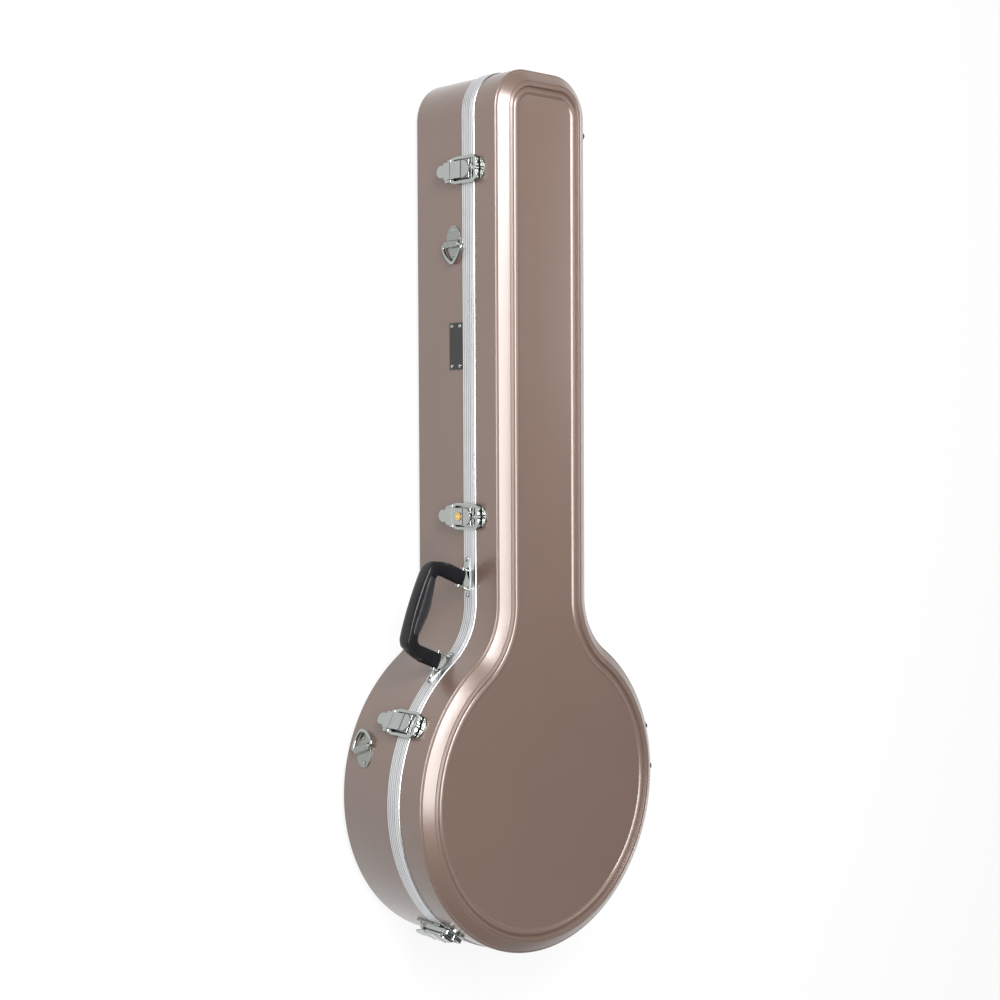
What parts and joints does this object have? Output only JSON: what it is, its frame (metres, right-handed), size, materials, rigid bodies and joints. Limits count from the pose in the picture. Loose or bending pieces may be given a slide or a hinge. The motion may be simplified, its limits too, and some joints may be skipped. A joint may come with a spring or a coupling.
{
  "type": "banjo case",
  "caption": "Hard shell banjo case with a hinged lid, aluminium edges, draw latches, a carrying handle, strap rings and a plush lining.",
  "frame": {"origin": "on the back face, under the centre of the round body end", "axes": "+Y towards the neck end, +Z out of the lid, +X towards the hinges; the handle and latches are at -X"},
  "size_m": [0.4059, 1.0633, 0.1627],
  "materials": {
    "shell_plastic": "satin, finely grained, bronze brown",
    "aluminium_edge": "brushed along its length, with fine flutes",
    "plush": "short black plush on foam",
    "bright_metal": "bright plated steel",
    "ring_plate_metal": "satin plated steel",
    "handle_plastic": "black moulded plastic with a fine grip texture inside",
    "plate_black": "black, plain",
    "brass_lock": "polished"
  },
  "bodies": {
    "base": {"base_shell": "shell_plastic", "base_valance_end": "aluminium_edge", "base_valance_sides": "aluminium_edge", "base_valance_waist": "aluminium_edge", "base_valance_round": "aluminium_edge", "base_liner": "plush", "neck_cradle": "plush", "latch_plate_end": "bright_metal", "latch_plate_lock": "bright_metal", "latch_plate_side": "bright_metal", "latch_plate_left": "bright_metal", "latch_plate_right": "bright_metal", "latch_pins": "bright_metal", "hinge_leaf_base_end": "bright_metal", "hinge_leaf_base_upper": "bright_metal", "hinge_leaf_base_lower": "bright_metal", "hinge_pins": "bright_metal", "handle_bracket_upper": "bright_metal", "handle_bracket_lower": "bright_metal", "handle_pins": "bright_metal", "ring_plate_upper": "ring_plate_metal", "ring_plate_lower": "ring_plate_metal", "plain_plate": "plate_black", "base_rivets": "bright_metal"},
    "lid": {"lid_shell": "shell_plastic", "lid_valance_end": "aluminium_edge", "lid_valance_sides": "aluminium_edge", "lid_valance_waist": "aluminium_edge", "lid_valance_round": "aluminium_edge", "lid_liner": "plush", "keeper_end": "bright_metal", "keeper_lock": "bright_metal", "keeper_side": "bright_metal", "keeper_left": "bright_metal", "keeper_right": "bright_metal", "hinge_leaf_lid_end": "bright_metal", "hinge_leaf_lid_upper": "bright_metal", "hinge_leaf_lid_lower": "bright_metal", "lid_rivets": "bright_metal"},
    "lever_end": {"lever_end": "bright_metal"},
    "bail_end": {"bail_end": "bright_metal"},
    "lever_lock": {"lever_lock": "bright_metal"},
    "bail_lock": {"bail_lock": "bright_metal"},
    "lever_side": {"lever_side": "bright_metal"},
    "bail_side": {"bail_side": "bright_metal"},
    "lever_left": {"lever_left": "bright_metal"},
    "bail_left": {"bail_left": "bright_metal"},
    "lever_right": {"lever_right": "bright_metal"},
    "bail_right": {"bail_right": "bright_metal"},
    "lock_cylinder": {"lock_cylinder": "brass_lock"},
    "handle": {"handle_grip": "handle_plastic"},
    "ring_upper": {"strap_ring_upper": "bright_metal"},
    "ring_lower": {"strap_ring_lower": "bright_metal"}
  },
  "joints": [
    {"name": "lid_hinge", "type": "hinge", "parent": "base", "child": "lid", "pos_m": [0.19959, 0.03042, 0.1118], "axis": [-0.1507, 0.9886, 0], "range_deg": [0, 105]},
    {"name": "lever_end_turn", "type": "hinge", "parent": "base", "child": "lever_end", "pos_m": [-0.082, 0.746, 0.1136], "axis": [0, 1, 0], "range_deg": [0, 120]},
    {"name": "bail_end_turn", "type": "hinge", "parent": "lever_end", "child": "bail_end", "pos_m": [-0.0815, 0.746, 0.0806], "axis": [0, 1, 0], "range_deg": [-120, 0]},
    {"name": "lever_lock_turn", "type": "hinge", "parent": "base", "child": "lever_lock", "pos_m": [-0.082, 0.33402, 0.1136], "axis": [0, 1, 0], "range_deg": [0, 120]},
    {"name": "bail_lock_turn", "type": "hinge", "parent": "lever_lock", "child": "bail_lock", "pos_m": [-0.0815, 0.33402, 0.0806], "axis": [0, 1, 0], "range_deg": [-120, 0]},
    {"name": "lever_side_turn", "type": "hinge", "parent": "base", "child": "lever_side", "pos_m": [-0.1788, 0.09717, 0.1136], "axis": [0.4775, 0.8786, 0], "range_deg": [0, 120]},
    {"name": "bail_side_turn", "type": "hinge", "parent": "lever_side", "child": "bail_side", "pos_m": [-0.17836, 0.09694, 0.0806], "axis": [0.4775, 0.8786, 0], "range_deg": [-120, 0]},
    {"name": "lever_left_turn", "type": "hinge", "parent": "base", "child": "lever_left", "pos_m": [-0.12247, -0.16252, 0.1136], "axis": [-0.7986, 0.6018, 0], "range_deg": [0, 120]},
    {"name": "bail_left_turn", "type": "hinge", "parent": "lever_left", "child": "bail_left", "pos_m": [-0.12217, -0.16212, 0.0806], "axis": [-0.7986, 0.6018, 0], "range_deg": [-120, 0]},
    {"name": "lever_right_turn", "type": "hinge", "parent": "base", "child": "lever_right", "pos_m": [0.07623, -0.18868, 0.1136], "axis": [-0.9272, -0.3746, 0], "range_deg": [0, 120]},
    {"name": "bail_right_turn", "type": "hinge", "parent": "lever_right", "child": "bail_right", "pos_m": [0.07605, -0.18822, 0.0806], "axis": [-0.9272, -0.3746, 0], "range_deg": [-120, 0]},
    {"name": "lock_turn", "type": "hinge", "parent": "lever_lock", "child": "lock_cylinder", "pos_m": [-0.082, 0.33402, 0.0981], "axis": [-1, 0, 0], "range_deg": [0, 90]},
    {"name": "handle_turn", "type": "hinge", "parent": "base", "child": "handle", "pos_m": [-0.0869, 0.26122, 0.1015], "axis": [-0.3844, -0.9232, 0], "range_deg": [-75, 75]},
    {"name": "ring_upper_turn", "type": "hinge", "parent": "base", "child": "ring_upper", "pos_m": [-0.0781, 0.659, 0.079], "axis": [0, 0, -1], "range_deg": [0, 165]},
    {"name": "ring_lower_turn", "type": "hinge", "parent": "base", "child": "ring_lower", "pos_m": [-0.18981, 0.06176, 0.04], "axis": [0.1159, 0.3562, 0.9272], "range_deg": [0, 165]}
  ],
  "couplings": [
    {"joint": "bail_end_turn", "follows": "lever_end_turn", "ratio": -1},
    {"joint": "bail_lock_turn", "follows": "lever_lock_turn", "ratio": -1},
    {"joint": "bail_side_turn", "follows": "lever_side_turn", "ratio": -1},
    {"joint": "bail_left_turn", "follows": "lever_left_turn", "ratio": -1},
    {"joint": "bail_right_turn", "follows": "lever_right_turn", "ratio": -1}
  ]
}
